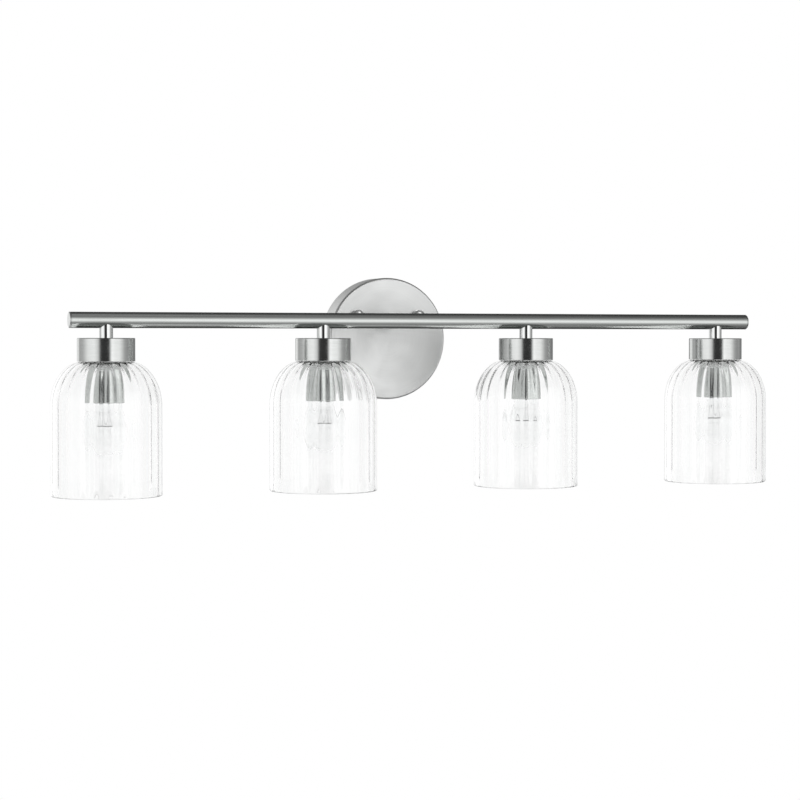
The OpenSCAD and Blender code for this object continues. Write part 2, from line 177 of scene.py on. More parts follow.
def newGroup(name, inputs, outputs):
    tree = bpy.data.node_groups.new(name, "ShaderNodeTree")
    for label, kind, value in inputs:
        socket = tree.interface.new_socket(label, in_out="INPUT", socket_type=kind)
        socket.default_value = value
    for label, kind in outputs:
        tree.interface.new_socket(label, in_out="OUTPUT", socket_type=kind)
    return tree, tree.nodes.new("NodeGroupInput"), tree.nodes.new("NodeGroupOutput")


def mathNode(tree, operation, a, b=None, c=None, clamp=False):
    node = tree.nodes.new("ShaderNodeMath")
    node.operation, node.use_clamp = operation, clamp
    for socket, value in zip(node.inputs, (a, b, c)):
        if value is None:
            continue
        if isinstance(value, (int, float)):
            socket.default_value = value
        else:
            tree.links.new(value, socket)
    return node.outputs[0]


def noiseAt(tree, vector, scale, detail=3.0, roughness=0.55):
    node = tree.nodes.new("ShaderNodeTexNoise")
    node.inputs["Scale"].default_value = scale
    node.inputs["Detail"].default_value = detail
    node.inputs["Roughness"].default_value = roughness
    tree.links.new(vector, node.inputs["Vector"])
    return node.outputs["Fac"]


def combined(tree, x, y, z):
    node = tree.nodes.new("ShaderNodeCombineXYZ")
    for socket, value in zip(node.inputs, (x, y, z)):
        if isinstance(value, (int, float)):
            socket.default_value = value
        else:
            tree.links.new(value, socket)
    return node.outputs[0]


def blendColour(tree, factor, a, b):
    node = tree.nodes.new("ShaderNodeMix")
    node.data_type = "RGBA"
    for socket, value in ((node.inputs[0], factor), (node.inputs[6], a), (node.inputs[7], b)):
        if isinstance(value, (int, float, tuple)):
            socket.default_value = value
        else:
            tree.links.new(value, socket)
    return node.outputs[2]


def spread(tree, value, low, high):
    # value from 0..1 onto low..high
    node = tree.nodes.new("ShaderNodeMapRange")
    for label, number in (("To Min", low), ("To Max", high)):
        if isinstance(number, (int, float)):
            node.inputs[label].default_value = number
        else:
            tree.links.new(number, node.inputs[label])
    node.inputs["From Min"].default_value = 0.3
    node.inputs["From Max"].default_value = 0.7
    tree.links.new(value, node.inputs["Value"])
    return node.outputs["Result"]


# fine rings left by turning or by a wheel: the grain runs round, and changes along the outline
def makeTurnedGrain():
    tree, given, out = newGroup(
        "turned grain",
        [("Coordinates", "NodeSocketVector", (0, 0, 0)), ("Light", "NodeSocketColor", (0.8, 0.8, 0.8, 1)),
         ("Dark", "NodeSocketColor", (0.6, 0.6, 0.6, 1)), ("Lines per Metre", "NodeSocketFloat", 3000.0),
         ("Roughness", "NodeSocketFloat", 0.2), ("Roughness Change", "NodeSocketFloat", 0.08)],
        [("Colour", "NodeSocketColor"), ("Roughness", "NodeSocketFloat"), ("Height", "NodeSocketFloat")])
    parts = tree.nodes.new("ShaderNodeSeparateXYZ")
    tree.links.new(given.outputs["Coordinates"], parts.inputs[0])
    angle = mathNode(tree, "MULTIPLY", parts.outputs[0], fullTurn)
    along = mathNode(tree, "MULTIPLY", parts.outputs[1], given.outputs["Lines per Metre"])
    around = combined(tree, mathNode(tree, "MULTIPLY", mathNode(tree, "COSINE", angle), 1.6),
                      mathNode(tree, "MULTIPLY", mathNode(tree, "SINE", angle), 1.6), along)
    lines = noiseAt(tree, around, 1.0, 4.0, 0.6)
    wide = combined(tree, mathNode(tree, "COSINE", angle), mathNode(tree, "SINE", angle),
                    mathNode(tree, "MULTIPLY", parts.outputs[1], 40.0))
    cloud = noiseAt(tree, wide, 1.5, 2.0)
    tree.links.new(blendColour(tree, spread(tree, lines, 0.0, 1.0), given.outputs["Dark"],
                               given.outputs["Light"]), out.inputs["Colour"])
    change = mathNode(tree, "MULTIPLY", spread(tree, cloud, -0.5, 0.5), given.outputs["Roughness Change"])
    tree.links.new(mathNode(tree, "ADD", given.outputs["Roughness"], change, clamp=True), out.inputs["Roughness"])
    tree.links.new(lines, out.inputs["Height"])
    return tree


# straight brushing: long along one axis, fine across it
def makeDrawnGrain():
    tree, given, out = newGroup(
        "drawn grain",
        [("Coordinates", "NodeSocketVector", (0, 0, 0)), ("Stretch", "NodeSocketVector", (1, 1, 1)),
         ("Light", "NodeSocketColor", (0.8, 0.8, 0.8, 1)), ("Dark", "NodeSocketColor", (0.6, 0.6, 0.6, 1)),
         ("Roughness", "NodeSocketFloat", 0.3), ("Roughness Change", "NodeSocketFloat", 0.08)],
        [("Colour", "NodeSocketColor"), ("Roughness", "NodeSocketFloat"), ("Height", "NodeSocketFloat")])
    scaled = tree.nodes.new("ShaderNodeVectorMath")
    scaled.operation = "MULTIPLY"
    tree.links.new(given.outputs["Coordinates"], scaled.inputs[0])
    tree.links.new(given.outputs["Stretch"], scaled.inputs[1])
    lines = noiseAt(tree, scaled.outputs[0], 1.0, 4.0, 0.6)
    cloud = noiseAt(tree, given.outputs["Coordinates"], 18.0, 2.0)
    tree.links.new(blendColour(tree, spread(tree, lines, 0.0, 1.0), given.outputs["Dark"],
                               given.outputs["Light"]), out.inputs["Colour"])
    change = mathNode(tree, "MULTIPLY", spread(tree, cloud, -0.5, 0.5), given.outputs["Roughness Change"])
    tree.links.new(mathNode(tree, "ADD", given.outputs["Roughness"], change, clamp=True), out.inputs["Roughness"])
    tree.links.new(lines, out.inputs["Height"])
    return tree


# small uneven patches: polish smudges, glaze, moulded plastic, plating
def makeMottle():
    tree, given, out = newGroup(
        "mottle",
        [("Coordinates", "NodeSocketVector", (0, 0, 0)), ("Light", "NodeSocketColor", (0.8, 0.8, 0.8, 1)),
         ("Dark", "NodeSocketColor", (0.7, 0.7, 0.7, 1)), ("Patch Size", "NodeSocketFloat", 60.0),
         ("Grain Size", "NodeSocketFloat", 900.0), ("Roughness", "NodeSocketFloat", 0.3),
         ("Roughness Change", "NodeSocketFloat", 0.1)],
        [("Colour", "NodeSocketColor"), ("Roughness", "NodeSocketFloat"), ("Height", "NodeSocketFloat")])
    scaled = tree.nodes.new("ShaderNodeVectorMath")
    scaled.operation = "SCALE"
    tree.links.new(given.outputs["Coordinates"], scaled.inputs[0])
    tree.links.new(given.outputs["Patch Size"], scaled.inputs["Scale"])
    finer = tree.nodes.new("ShaderNodeVectorMath")
    finer.operation = "SCALE"
    tree.links.new(given.outputs["Coordinates"], finer.inputs[0])
    tree.links.new(given.outputs["Grain Size"], finer.inputs["Scale"])
    patches = noiseAt(tree, scaled.outputs[0], 1.0, 3.0)
    grain = noiseAt(tree, finer.outputs[0], 1.0, 2.0)
    tree.links.new(blendColour(tree, spread(tree, patches, 0.0, 1.0), given.outputs["Dark"],
                               given.outputs["Light"]), out.inputs["Colour"])
    change = mathNode(tree, "MULTIPLY", spread(tree, patches, -0.5, 0.5), given.outputs["Roughness Change"])
    tree.links.new(mathNode(tree, "ADD", given.outputs["Roughness"], change, clamp=True), out.inputs["Roughness"])
    tree.links.new(grain, out.inputs["Height"])
    return tree


# pressed glass: a shade paler between the ribs than on them, with slow ripples left by blowing
def makeRibbedTint():
    tree, given, out = newGroup(
        "ribbed tint",
        [("Coordinates", "NodeSocketVector", (0, 0, 0)), ("Light", "NodeSocketColor", (1, 1, 1, 1)),
         ("Dark", "NodeSocketColor", (0.98, 0.98, 0.98, 1)), ("Ribs", "NodeSocketFloat", 24.0),
         ("Drift", "NodeSocketFloat", 0.6), ("Ripples per Metre", "NodeSocketFloat", 30.0)],
        [("Colour", "NodeSocketColor"), ("Height", "NodeSocketFloat")])
    parts = tree.nodes.new("ShaderNodeSeparateXYZ")
    tree.links.new(given.outputs["Coordinates"], parts.inputs[0])
    angle = mathNode(tree, "MULTIPLY", parts.outputs[0], fullTurn)
    stripe = mathNode(tree, "COSINE", mathNode(tree, "MULTIPLY", angle, given.outputs["Ribs"]))
    along = mathNode(tree, "MULTIPLY", parts.outputs[1], given.outputs["Ripples per Metre"])
    around = combined(tree, mathNode(tree, "COSINE", angle), mathNode(tree, "SINE", angle), along)
    drift = mathNode(tree, "MULTIPLY", spread(tree, noiseAt(tree, around, 2.2, 2.0), -1.0, 1.0),
                     given.outputs["Drift"])
    share = mathNode(tree, "MULTIPLY", mathNode(tree, "ADD", stripe, drift), 0.5)
    tree.links.new(blendColour(tree, mathNode(tree, "ADD", share, 0.5, clamp=True), given.outputs["Light"],
                               given.outputs["Dark"]), out.inputs["Colour"])
    tree.links.new(noiseAt(tree, around, 3.0, 2.0), out.inputs["Height"])
    return tree


turnedGrain = makeTurnedGrain()
drawnGrain = makeDrawnGrain()
mottle = makeMottle()
ribbedTint = makeRibbedTint()


def newMaterial(name, group, coordinates, values, bump, plain):
    # group gives colour, roughness and height; plain holds the shader's constant values
    material = bpy.data.materials.new(name)
    material.use_nodes = True
    tree = material.node_tree
    shader = tree.nodes["Principled BSDF"]
    if coordinates == "turned":
        source = tree.nodes.new("ShaderNodeUVMap")
        source.uv_map = "turned"
        vector = source.outputs[0]
    else:
        vector = tree.nodes.new("ShaderNodeTexCoord").outputs["Object"]
    effect = tree.nodes.new("ShaderNodeGroup")
    effect.node_tree = group
    tree.links.new(vector, effect.inputs["Coordinates"])
    for label, value in values.items():
        effect.inputs[label].default_value = value
    tree.links.new(effect.outputs["Colour"], shader.inputs["Base Color"])
    if "Roughness" not in plain:
        tree.links.new(effect.outputs["Roughness"], shader.inputs["Roughness"])
    bumpNode = tree.nodes.new("ShaderNodeBump")
    bumpNode.inputs["Strength"].default_value = bump[0]
    bumpNode.inputs["Distance"].default_value = bump[1]
    tree.links.new(effect.outputs["Height"], bumpNode.inputs["Height"])
    tree.links.new(bumpNode.outputs["Normal"], shader.inputs["Normal"])
    for label, value in plain.items():
        shader.inputs[label].default_value = value
    return material


def grey(level, tint=0.0):
    # a touch of green-grey, as nickel has under daylight
    return (level * (1 - tint), level, level * (1 - tint * 0.7), 1)


nickelTurned = newMaterial("brushed nickel turned", turnedGrain, "turned",
                           {"Light": grey(0.74, 0.02), "Dark": grey(0.64, 0.02), "Lines per Metre": 2600.0,
                            "Roughness": 0.17, "Roughness Change": 0.05}, (0.1, 0.00006), {"Metallic": 1.0})
nickelCanopy = newMaterial("brushed nickel canopy", turnedGrain, "turned",
                           {"Light": grey(0.75, 0.01), "Dark": grey(0.71, 0.01), "Lines per Metre": 1900.0,
                            "Roughness": 0.42, "Roughness Change": 0.06}, (0.05, 0.00006), {"Metallic": 1.0})
# darker than the other nickel: painted shade, for the cup sits in shadow under the holder inside the glass
nickelCupPaintedShade = newMaterial("brushed nickel cup, painted shade", turnedGrain, "turned",
                        {"Light": grey(0.58, 0.03), "Dark": grey(0.48, 0.03), "Lines per Metre": 2600.0,
                         "Roughness": 0.12, "Roughness Change": 0.04}, (0.08, 0.00006), {"Metallic": 1.0})
nickelDrawn = newMaterial("brushed nickel drawn", drawnGrain, "object",
                          {"Stretch": (9.0, 1500.0, 1500.0), "Light": grey(0.74, 0.03), "Dark": grey(0.64, 0.03),
                           "Roughness": 0.20, "Roughness Change": 0.05}, (0.05, 0.00006), {"Metallic": 1.0})
nickelArm = newMaterial("brushed nickel arm", drawnGrain, "object",
                        {"Stretch": (1500.0, 9.0, 1500.0), "Light": grey(0.72, 0.03), "Dark": grey(0.62, 0.03),
                         "Roughness": 0.25, "Roughness Change": 0.05}, (0.05, 0.00006), {"Metallic": 1.0})
nickelPolished = newMaterial("polished nickel", mottle, "object",
                             {"Light": grey(0.84, 0.01), "Dark": grey(0.78, 0.02), "Patch Size": 220.0,
                              "Roughness": 0.08, "Roughness Change": 0.05}, (0.03, 0.00002), {"Metallic": 1.0})
# paler than the other nickel: painted light, so the domes read light above the bar instead of mirroring the dark
# ceiling
nickelNutPaintedLight = newMaterial("satin nickel nut, painted light", turnedGrain, "turned",
                        {"Light": grey(0.92, 0.01), "Dark": grey(0.84, 0.01), "Lines per Metre": 2600.0,
                         "Roughness": 0.34, "Roughness Change": 0.05}, (0.06, 0.00005), {"Metallic": 1.0})
zincPlate = newMaterial("bright zinc plate", mottle, "object",
                        {"Light": (0.66, 0.67, 0.66, 1), "Dark": (0.50, 0.53, 0.56, 1), "Patch Size": 130.0,
                         "Roughness": 0.34, "Roughness Change": 0.2}, (0.15, 0.00005), {"Metallic": 1.0})
greenPlate = newMaterial("green screw plating", mottle, "object",
                         {"Light": (0.10, 0.42, 0.17, 1), "Dark": (0.05, 0.28, 0.10, 1), "Patch Size": 300.0,
                          "Roughness": 0.32, "Roughness Change": 0.15}, (0.1, 0.00003), {"Metallic": 0.8})
brass = newMaterial("turned brass", mottle, "object",
                    {"Light": (0.83, 0.66, 0.34, 1), "Dark": (0.66, 0.48, 0.22, 1), "Patch Size": 180.0,
                     "Roughness": 0.26, "Roughness Change": 0.15}, (0.1, 0.00003), {"Metallic": 1.0})
ringAluminium = newMaterial("satin aluminium", mottle, "object",
                            {"Light": grey(0.80), "Dark": grey(0.70), "Patch Size": 260.0, "Grain Size": 1800.0,
                             "Roughness": 0.30, "Roughness Change": 0.1}, (0.12, 0.00003), {"Metallic": 1.0})
porcelain = newMaterial("glazed porcelain", mottle, "object",
                        {"Light": (0.93, 0.92, 0.88, 1), "Dark": (0.87, 0.85, 0.79, 1), "Patch Size": 90.0,
                         "Roughness": 0.16, "Roughness Change": 0.1}, (0.08, 0.0001), {"Coat Weight": 0.6})
fibreWasher = newMaterial("pale fibre", mottle, "object",
                          {"Light": (0.88, 0.86, 0.80, 1), "Dark": (0.70, 0.67, 0.60, 1), "Patch Size": 500.0,
                           "Grain Size": 2500.0, "Roughness": 0.85, "Roughness Change": 0.1}, (0.4, 0.0001), {})
blackPvc = newMaterial("black wire cover", mottle, "object",
                       {"Light": (0.045, 0.045, 0.048, 1), "Dark": (0.025, 0.025, 0.027, 1), "Patch Size": 150.0,
                        "Roughness": 0.42, "Roughness Change": 0.12}, (0.1, 0.00004), {})
whitePvc = newMaterial("white wire cover", mottle, "object",
                       {"Light": (0.88, 0.87, 0.84, 1), "Dark": (0.78, 0.77, 0.73, 1), "Patch Size": 150.0,
                        "Roughness": 0.42, "Roughness Change": 0.12}, (0.1, 0.00004), {})
bareCopper = newMaterial("bare copper", mottle, "object",
                         {"Light": (0.86, 0.50, 0.32, 1), "Dark": (0.62, 0.30, 0.17, 1), "Patch Size": 260.0,
                          "Roughness": 0.28, "Roughness Change": 0.15}, (0.1, 0.00003), {"Metallic": 1.0})
orangePlastic = newMaterial("orange moulded plastic", mottle, "object",
                            {"Light": (0.90, 0.34, 0.05, 1), "Dark": (0.76, 0.26, 0.03, 1), "Patch Size": 200.0,
                             "Roughness": 0.36, "Roughness Change": 0.1}, (0.12, 0.00005), {})
tungsten = newMaterial("filament and leads", mottle, "object",
                       {"Light": grey(0.62), "Dark": grey(0.40), "Patch Size": 900.0, "Roughness": 0.4,
                        "Roughness Change": 0.2}, (0.1, 0.00002), {"Metallic": 1.0})
bulbBaseMetal = newMaterial("bright bulb base", mottle, "object",
                            {"Light": grey(0.86), "Dark": grey(0.74), "Patch Size": 240.0, "Roughness": 0.2,
                             "Roughness Change": 0.12}, (0.08, 0.00003), {"Metallic": 1.0})
shadeGlass = newMaterial("clear ribbed glass", ribbedTint, "turned",
                         {"Light": (0.998, 0.998, 0.998, 1), "Dark": (0.972, 0.975, 0.974, 1), "Ribs": 24.0,
                          "Drift": 0.7, "Ripples per Metre": 30.0}, (0.1, 0.0004),
                         {"Roughness": 0.0, "Metallic": 0.0, "Transmission Weight": 1.0, "IOR": 1.47})
bulbGlass = newMaterial("thin clear glass", mottle, "object",
                        {"Light": (0.998, 0.998, 0.998, 1), "Dark": (0.975, 0.98, 0.98, 1), "Patch Size": 60.0,
                         "Grain Size": 150.0}, (0.05, 0.0002),
                        {"Roughness": 0.0, "Metallic": 0.0, "Transmission Weight": 1.0, "IOR": 1.45})
print("materials ready")


# bar

barLook = {"endChamfer": 0.0005, "headGap": 0.00015, "wall": 0.001, "steps": 128}


def makeBar():
    low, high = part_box("bar_tube")
    centre = Vector((0, (low.y + high.y) / 2, (low.z + high.z) / 2))
    outer = (high.z - low.z) / 2
    bore = outer - barLook["wall"]
    chamfer = barLook["endChamfer"] / 2
    tube = [(bore, low.x), (outer - chamfer, low.x), (outer, low.x + chamfer), (outer, high.x - chamfer),
            (outer - chamfer, high.x), (bore, high.x)]
    mesh = turned("bar", tube, centre, "x", barLook["steps"], loop=True)
    showPiece(mesh, "bar", nickelDrawn, "fixture", ["bar_tube"])
    for side, word in ((-1, "left"), (1, "right")):
        low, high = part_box(f"end_plug_{word}")
        inner, outerX = (high.x, low.x) if side < 0 else (low.x, high.x)
        joint = high.x - 0.006 if side < 0 else low.x + 0.006
        r = (high.z - low.z) / 2
        chamfer = barLook["endChamfer"]
        outline = [(0, inner), (bore - 0.0006, inner), (bore - 0.0001, inner + side * 0.0005),
                   (bore - 0.0001, joint + side * barLook["headGap"]), (r, joint + side * barLook["headGap"]),
                   (r, outerX - side * chamfer), (r - chamfer, outerX), (0, outerX)]
        plug = turned(f"endPlug_{word}", braced(rounded(outline, 0.0002, 2)), centre, "x", barLook["steps"])
        showPiece(plug, f"endPlug_{word}", nickelTurned, "fixture", [f"end_plug_{word}"])


makeBar()
print("bar and end plugs made")


# canopy and cap nuts

canopyLook = {"edge": 0.0022, "sheet": 0.001, "steps": 160}
capNutLook = {"flange": 0.0012, "waist": 0.0008, "steps": 64}


def makeCanopy():
    low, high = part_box("canopy")
    r, front, back = (high.z - low.z) / 2, low.y, high.y
    edge, sheet = canopyLook["edge"], canopyLook["sheet"]
    outer = [(r, back)] + [(x, y) for x, y in arc(r - edge, front + edge, edge, 0, -90, 10)] + [(0, front)]
    inner = [(0, front + sheet)] + arc(r - edge, front + edge, edge - sheet, -90, 0, 8) + [(r - sheet, back)]
    mesh = turned("canopyShell", braced(outer + inner), Vector((0, 0, 0)), "y", canopyLook["steps"], loop=True)
    showPiece(mesh, "canopyShell", nickelCanopy, "fixture", ["canopy"])


def makeCapNut(word):
    low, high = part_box(f"cap_nut_{word}")
    r, front, back = (high.z - low.z) / 2, low.y, high.y
    centre = Vector(((low.x + high.x) / 2, 0, (low.z + high.z) / 2))
    flange, waist = capNutLook["flange"], capNutLook["waist"]
    shoulder = back - (back - front) * 0.42
    outline = [(0, back), (r - 0.0003, back), (r, back - 0.0003), (r, back - flange),
               (r - waist, back - flange - 0.0006), (r - 0.0002, back - flange - 0.0016), (r - 0.0002, shoulder)]
    dome = arc(0, 0, 1, 0, -90, 18)[1:]
    outline += [((r - 0.0002) * c, shoulder + (shoulder - front) * s) for c, s in dome[:-1]] + [(0, front)]
    mesh = turned(f"capNut_{word}", outline, centre, "y", capNutLook["steps"])
    showPiece(mesh, f"capNut_{word}", nickelNutPaintedLight, "fixture", [f"cap_nut_{word}"])


makeCanopy()
for word in ("left", "right"):
    makeCapNut(word)
print("canopy and cap nuts made")


# shade holders and socket cups

holderLook = {"topEdge": 0.0009, "lowEdge": 0.0004, "plate": 0.002, "steps": 128}
cupLook = {"rolls": 8, "rollHeight": 0.0015, "rollDepth": 0.00032, "lip": 0.0006, "sheet": 0.0008, "steps": 96}


def makeHolder(number):
    low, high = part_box(f"shade_holder_{number}")
    r = (high.x - low.x) / 2
    hole = (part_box("lamp_nipples")[1].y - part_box("lamp_nipples")[0].y) / 2 + 0.0003
    centre = lampAxis(number)
    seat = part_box("shade_gaskets")[1].z
    seatBore = r - 0.0044
    outline = [(hole, high.z), (r, high.z), (r, low.z), (r - 0.001, low.z), (r - 0.001, seat), (seatBore, seat),
               (seatBore, high.z - holderLook["plate"]), (hole, high.z - holderLook["plate"])]
    top = rounded(outline[:3], holderLook["topEdge"])
    bottom = rounded(outline[1:4], holderLook["lowEdge"], 2)[1:]
    outline = braced(top[:-1] + bottom + outline[4:])
    mesh = turned(f"shadeHolder_{number}", outline, centre, "z", holderLook["steps"], loop=True)
    showPiece(mesh, f"shadeHolder_{number}", nickelTurned, "fixture", [f"shade_holder_{number}"])


def makeCup(number):
    low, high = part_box(f"socket_cup_{number}")
    r = (high.x - low.x) / 2 - 0.00035
    centre = lampAxis(number)
    sheet, roll, depth = cupLook["sheet"], cupLook["rollHeight"], cupLook["rollDepth"]
    hole = 0.0053
    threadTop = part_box(f"shade_ring_{number}")[1].z
    outline = [(hole, high.z), (r - 0.001, high.z), (r, high.z - 0.001)]
    for i in range(cupLook["rolls"]):
        for part in range(4):
            lift = (0, 0.7, 1, 0.7)[part]
            outline.append((r + depth * lift, threadTop - (i + part / 4) * roll))
    outline.append((r, threadTop - cupLook["rolls"] * roll))
    lip = cupLook["lip"]
    outline += [(r, low.z + lip)] + arc(r - lip, low.z + lip, lip, 0, -120, 5)[1:]
    outline += [(r - sheet, low.z + lip), (r - sheet, high.z - sheet), (hole, high.z - sheet)]
    mesh = turned(f"socketCup_{number}", braced(outline), centre, "z", cupLook["steps"], loop=True)
    showPiece(mesh, f"socketCup_{number}", nickelCupPaintedShade, "fixture", [f"socket_cup_{number}"])


for number in lampNumbers:
    makeHolder(number)
    makeCup(number)
print("shade holders and socket cups made")


# ribbed glass shades

shadeLook = {"ribs": 24, "ribDepth": 0.0015, "outerDepth": 0.0004, "wallShare": 0.5, "thinning": 3.0,
             "sharpness": 1.6, "glass": 0.003, "shoulder": 0.044, "stepsPerRib": 12}


def geometryTree(name, inputs):
    tree = bpy.data.node_groups.new(name, "GeometryNodeTree")
    tree.interface.new_socket("Geometry", in_out="INPUT", socket_type="NodeSocketGeometry")
    tree.interface.new_socket("Geometry", in_out="OUTPUT", socket_type="NodeSocketGeometry")
    for label, kind, value in inputs:
        socket = tree.interface.new_socket(label, in_out="INPUT", socket_type=kind)
        if value is not None:
            socket.default_value = value
    return tree, tree.nodes.new("NodeGroupInput"), tree.nodes.new("NodeGroupOutput")


def makeRibTree():
    tree, given, out = geometryTree("optic ribs", [
        ("Centre", "NodeSocketVector", (0, 0, 0)), ("Rib Count", "NodeSocketFloat", 24.0),
        ("Inner Depth", "NodeSocketFloat", 0.001), ("Outer Depth", "NodeSocketFloat", 0.0003),
        ("Sharpness", "NodeSocketFloat", 1.5), ("Material", "NodeSocketMaterial", None)])
    place = tree.nodes.new("GeometryNodeInputPosition")
    fromAxis = tree.nodes.new("ShaderNodeVectorMath")
    fromAxis.operation = "SUBTRACT"
    tree.links.new(place.outputs[0], fromAxis.inputs[0])
    tree.links.new(given.outputs["Centre"], fromAxis.inputs[1])
    flat = tree.nodes.new("ShaderNodeVectorMath")
    flat.operation = "MULTIPLY"
    flat.inputs[1].default_value = (1, 1, 0)
    tree.links.new(fromAxis.outputs[0], flat.inputs[0])
    outward = tree.nodes.new("ShaderNodeVectorMath")
    outward.operation = "NORMALIZE"
    tree.links.new(flat.outputs[0], outward.inputs[0])
    parts = tree.nodes.new("ShaderNodeSeparateXYZ")
    tree.links.new(outward.outputs[0], parts.inputs[0])
    angle = mathNode(tree, "ARCTAN2", parts.outputs[1], parts.outputs[0])
    wave = mathNode(tree, "COSINE", mathNode(tree, "MULTIPLY", angle, given.outputs["Rib Count"]))
    ridge = mathNode(tree, "POWER", mathNode(tree, "MULTIPLY_ADD", wave, 0.5, 0.5), given.outputs["Sharpness"])
    weights = []
    for label in ("innerWall", "outerWall"):
        read = tree.nodes.new("GeometryNodeInputNamedAttribute")
        read.data_type = "FLOAT"
        read.inputs["Name"].default_value = label
        weights.append(read.outputs["Attribute"])
    inner = mathNode(tree, "MULTIPLY", mathNode(tree, "MULTIPLY", ridge, weights[0]), given.outputs["Inner Depth"])
    hollow = mathNode(tree, "SUBTRACT", 1.0, ridge)
    outer = mathNode(tree, "MULTIPLY", mathNode(tree, "MULTIPLY", hollow, weights[1]), given.outputs["Outer Depth"])
    pull = mathNode(tree, "MULTIPLY", mathNode(tree, "ADD", inner, outer), -1.0)
    shift = tree.nodes.new("ShaderNodeVectorMath")
    shift.operation = "SCALE"
    tree.links.new(outward.outputs[0], shift.inputs[0])
    tree.links.new(pull, shift.inputs["Scale"])
    moved = tree.nodes.new("GeometryNodeSetPosition")
    tree.links.new(given.outputs["Geometry"], moved.inputs["Geometry"])
    tree.links.new(shift.outputs[0], moved.inputs["Offset"])
    realized = tree.nodes.new("GeometryNodeRealizeInstances")
    tree.links.new(moved.outputs[0], realized.inputs[0])
    coloured = tree.nodes.new("GeometryNodeSetMaterial")
    tree.links.new(realized.outputs[0], coloured.inputs["Geometry"])
    tree.links.new(given.outputs["Material"], coloured.inputs["Material"])
    tree.links.new(coloured.outputs[0], out.inputs["Geometry"])
    return tree


def grownMesh(name, base, tree, values):
    # runs a Geometry Nodes tree on base and returns the result as a plain mesh
    holder = bpy.data.objects.new(name + "_base", base)
    bpy.context.scene.collection.objects.link(holder)
    modifier = holder.modifiers.new("grow", "NODES")
    modifier.node_group = tree
    identifiers = {item.name: item.identifier for item in tree.interface.items_tree
                   if item.item_type == "SOCKET" and item.in_out == "INPUT"}
    for label, value in values.items():
        modifier[identifiers[label]] = value
    bpy.context.view_layer.update()
    evaluated = holder.evaluated_get(bpy.context.evaluated_depsgraph_get())
    mesh = bpy.data.meshes.new_from_object(evaluated, preserve_all_data_layers=True,
                                           depsgraph=bpy.context.evaluated_depsgraph_get())
    mesh.name = name
    bpy.data.objects.remove(holder)
    return mesh


ribTree = makeRibTree()


def makeShade(number):
    low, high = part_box(f"shade_{number}")
    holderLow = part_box(f"shade_holder_{number}")[0].z
    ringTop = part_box(f"shade_ring_{number}")[1].z
    r = max(high.x - low.x, high.y - low.y) / 2
    r = math.floor(r * 10000) / 10000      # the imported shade's own round-off stays outside
    glass = shadeLook["glass"]
    hole = (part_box(f"socket_cup_{number}")[1].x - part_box(f"socket_cup_{number}")[0].x) / 2 + 0.00045
    holderR = (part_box(f"shade_holder_{number}")[1].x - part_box(f"shade_holder_{number}")[0].x) / 2
    neck = holderR - 0.0016
    inward = neck - 0.0035
    tall, wide = shadeLook["shoulder"], r - inward
    bendZ = holderLow - 0.0002 - tall
    rim = glass / 2

    def curve(a, b, start, end, steps):
        return [(inward + a * math.cos(t), bendZ + b * math.sin(t)) for t in
                [start + (end - start) * i / steps for i in range(steps + 1)]]

    outStart = math.acos((neck - inward) / wide)
    inStart = math.acos((neck - glass - inward) / (wide - glass))
    outer = [(hole, high.z), (neck - 0.001, high.z), (neck - 0.0003, high.z - 0.0003), (neck, high.z - 0.001)]
    outer += curve(wide, tall, outStart, 0, 30)
    wall = [(r, bendZ + (low.z + rim - bendZ) * i / 12) for i in range(1, 12)]
    rimArc = arc(r - rim, low.z + rim, rim, 0, -180, 12)
    innerWall = [(r - glass, low.z + rim + (bendZ - low.z - rim) * i / 12) for i in range(1, 12)]
    inner = curve(wide - glass, tall - glass, 0, inStart, 30) + [(neck - glass, ringTop), (hole, ringTop)]
    outline = outer + wall + rimArc + innerWall + inner
    steps = shadeLook["ribs"] * shadeLook["stepsPerRib"]
    mesh = turned(f"shadeBell_{number}", outline, lampAxis(number), "z", steps, 50, loop=True)
    # how strongly each point takes the ribs: none at the neck and the rim, full on the wall
    firstInner = len(outer) + len(wall) + len(rimArc) // 2
    weights = {"innerWall": [], "outerWall": []}
    for i, (radius, z) in enumerate(outline):
        fade = min(1, max(0, (holderLow - 0.0005 - z) / 0.006)) * min(1, max(0, (z - low.z - 0.0025) / 0.006))
        # the mould's ribs thin out where the glass is blown wide
        blown = min(1, max(0, (z - bendZ) / (tall * 0.8)))
        fade *= shadeLook["wallShare"] + (1 - shadeLook["wallShare"]) * blown ** shadeLook["thinning"]
        weights["innerWall"].append(fade if i > firstInner else 0.0)
        weights["outerWall"].append(fade if i < firstInner else 0.0)
    for label, values in weights.items():
        layer = mesh.attributes.new(label, "FLOAT", "POINT")
        layer.data.foreach_set("value", [v for v in values for _ in range(steps)])
    spot = lampAxis(number)
    ribbed = grownMesh(f"ribbedShade_{number}", mesh, ribTree, {
        "Centre": (spot.x, spot.y, 0.0), "Rib Count": float(shadeLook["ribs"]), "Inner Depth": shadeLook["ribDepth"],
        "Outer Depth": shadeLook["outerDepth"], "Sharpness": shadeLook["sharpness"], "Material": shadeGlass})
    for label in weights:
        ribbed.attributes.remove(ribbed.attributes[label])
    showPiece(ribbed, f"ribbedShade_{number}", None, "fixture", [f"shade_{number}"])


for number in lampNumbers:
    makeShade(number)
print("ribbed shades made")


# bulbs

bulbLook = {"wall": 0.0007, "stemR": 0.0032, "leadR": 0.0002, "filamentHalf": 0.008,
            "coilR": 0.0006, "coilTurns": 34, "coilWire": 0.00016, "sag": 0.0022}


